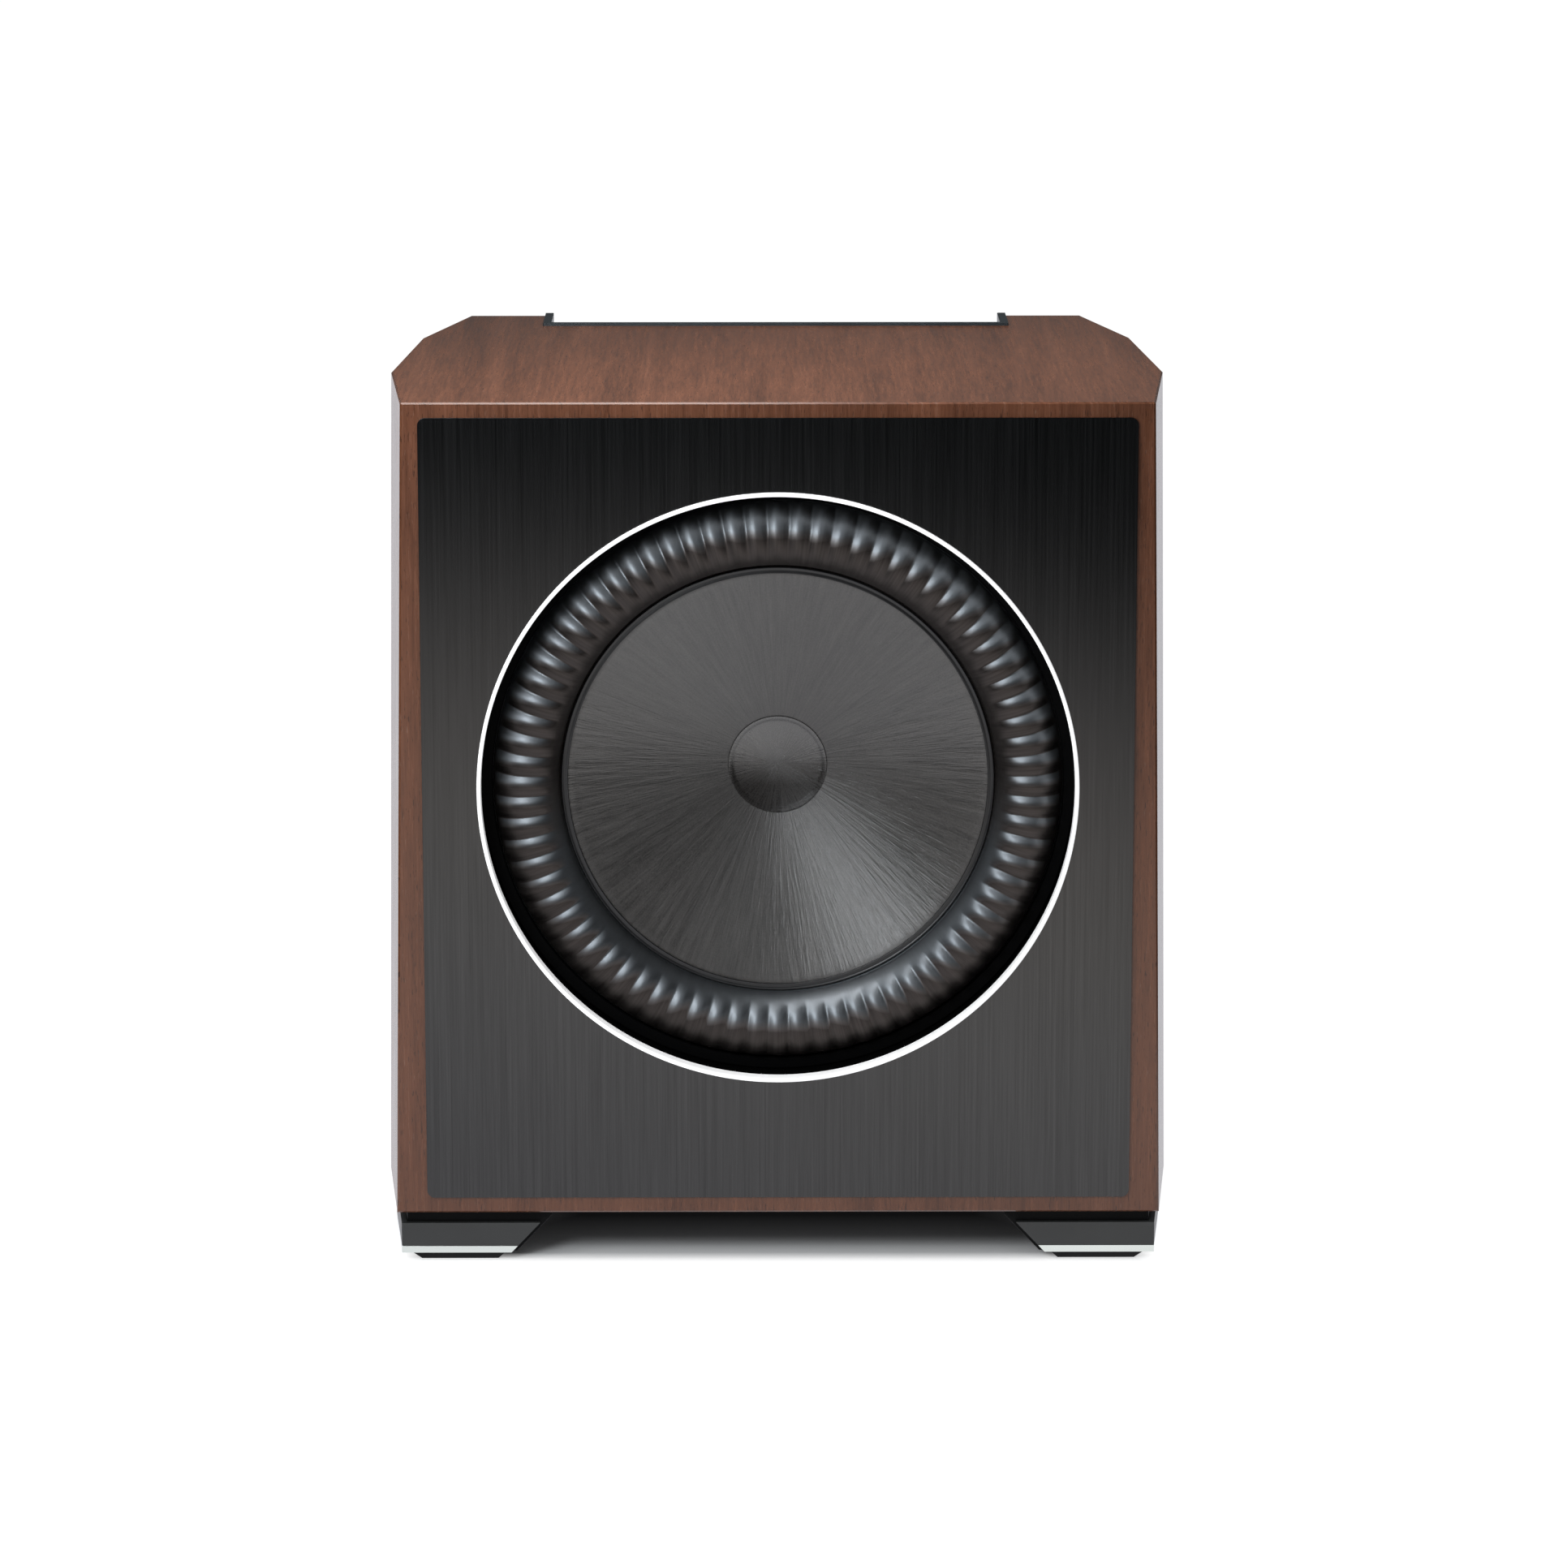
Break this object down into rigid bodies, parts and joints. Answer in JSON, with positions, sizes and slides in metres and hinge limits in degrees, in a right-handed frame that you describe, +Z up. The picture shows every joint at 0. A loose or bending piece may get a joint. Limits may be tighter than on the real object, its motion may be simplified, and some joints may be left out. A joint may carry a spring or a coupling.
{
  "type": "subwoofer",
  "caption": "Floor-standing closed-box subwoofer: faceted walnut cabinet on corner feet, brushed front plate, ribbed-surround driver and a recessed rear amplifier.",
  "frame": {"origin": "floor level, under the middle of the overall plan", "axes": "+Z up, the driver faces -Y, the amplifier faces +Y, +X is the right-hand side seen from the front"},
  "size_m": [0.5292, 0.43, 0.58],
  "materials": {
    "walnut_veneer": "open-pore dark walnut veneer, satin lacquer",
    "fibreboard": "raw fibreboard, bay painted black",
    "wadding": "polyester damping wadding",
    "brushed_black": "vertically brushed, black anodised",
    "polished_trim": "bright polished",
    "black_moulding": "fine satin texture",
    "black_rubber": "matt moulded rubber",
    "cone_fibre": "grey fibre cone, radial brushing",
    "cone_edge": "black glue bead ring",
    "cast_alloy": "dark powder-coated casting",
    "black_screws": "black oxide",
    "zinc_steel": "zinc plated",
    "ferrite": "sintered ferrite",
    "copper": "copper",
    "former_film": "amber polyimide film",
    "spider_cloth": "resin-treated woven cloth",
    "anodised_panel": "black anodised",
    "circuit_board": "green solder mask",
    "winding": "taped copper winding",
    "capacitor_sleeve": "shrink sleeve",
    "knob_black": "fine fluted, satin",
    "gold_plate": "gold plated",
    "slider_white": "white moulding",
    "led_lens": "tinted clear lens"
  },
  "bodies": {
    "cabinet": {"top_panel": "walnut_veneer", "bottom_panel": "walnut_veneer", "side_left": "walnut_veneer", "side_right": "walnut_veneer", "front_baffle": "walnut_veneer", "rear_panel": "walnut_veneer", "amp_bay_tub": "fibreboard", "window_brace": "fibreboard", "wadding": "wadding", "front_fascia": "brushed_black", "amp_bay_frame": "black_moulding", "foot_cores": "black_moulding", "foot_claddings": "black_moulding", "foot_stripes": "polished_trim", "foot_pads": "black_rubber", "foot_bolts": "black_screws", "trim_ring": "polished_trim", "flange_cover": "black_moulding", "driver_gasket": "black_rubber", "basket": "cast_alloy", "driver_screws": "black_screws", "surround": "black_rubber", "spider": "spider_cloth", "top_plate": "zinc_steel", "magnets": "ferrite", "yoke": "zinc_steel", "shorting_ring": "copper", "terminal_block": "black_moulding", "tinsel_leads": "copper", "speaker_cable": "black_rubber", "amp_plate": "anodised_panel", "amp_screws": "black_screws", "heatsink": "anodised_panel", "amp_chassis": "zinc_steel", "power_board": "circuit_board", "power_transformer": "winding", "filter_capacitors": "capacitor_sleeve", "amp_board": "circuit_board", "input_board": "circuit_board", "pot_bodies": "black_moulding", "rca_jacks": "gold_plate", "xlr_socket": "anodised_panel", "trigger_jack": "black_moulding", "mains_inlet": "black_moulding", "inlet_pins": "zinc_steel", "power_switch_housing": "black_moulding", "mode_switch_body": "black_moulding", "status_led": "led_lens"},
    "cone_assembly": {"cone": "cone_fibre", "cone_rim": "cone_edge", "dust_cap": "cone_fibre", "coil_former": "former_film", "voice_coil": "copper"},
    "level_control": {"knob_level": "knob_black"},
    "crossover_control": {"knob_crossover": "knob_black"},
    "phase_control": {"knob_phase": "knob_black"},
    "xlr_release": {"xlr_latch": "zinc_steel"},
    "fuse_holder": {"fuse_drawer": "knob_black"},
    "rocker": {"power_rocker": "knob_black"},
    "mode_control": {"mode_slider": "slider_white"}
  },
  "joints": [
    {"name": "cone_excursion", "type": "slide", "parent": "cabinet", "child": "cone_assembly", "axis": [0, -1, 0], "range_m": [-0.014, 0.014], "stiffness_N_per_m": 3200, "deforming": ["surround", "spider", "tinsel_leads"]},
    {"name": "level_turn", "type": "hinge", "parent": "cabinet", "child": "level_control", "pos_m": [0.1, 0.163, 0.284], "axis": [0, 1, 0], "range_deg": [-150, 150]},
    {"name": "crossover_turn", "type": "hinge", "parent": "cabinet", "child": "crossover_control", "pos_m": [0.045, 0.163, 0.284], "axis": [0, 1, 0], "range_deg": [-150, 150]},
    {"name": "phase_turn", "type": "hinge", "parent": "cabinet", "child": "phase_control", "pos_m": [-0.01, 0.163, 0.284], "axis": [0, 1, 0], "range_deg": [-150, 150]},
    {"name": "xlr_latch_press", "type": "slide", "parent": "cabinet", "child": "xlr_release", "axis": [0, 0, -1], "range_m": [0, 0.0016], "stiffness_N_per_m": 900, "springref_m": -0.001},
    {"name": "fuse_drawer_slide", "type": "slide", "parent": "cabinet", "child": "fuse_holder", "axis": [0, 1, 0], "range_m": [0, 0.018]},
    {"name": "power_rocker_tilt", "type": "hinge", "parent": "cabinet", "child": "rocker", "pos_m": [-0.03, 0.16, 0.15], "axis": [0, 0, 1], "range_deg": [-8, 8]},
    {"name": "mode_slide", "type": "slide", "parent": "cabinet", "child": "mode_control", "axis": [1, 0, 0], "range_m": [0, 0.0038]}
  ]
}
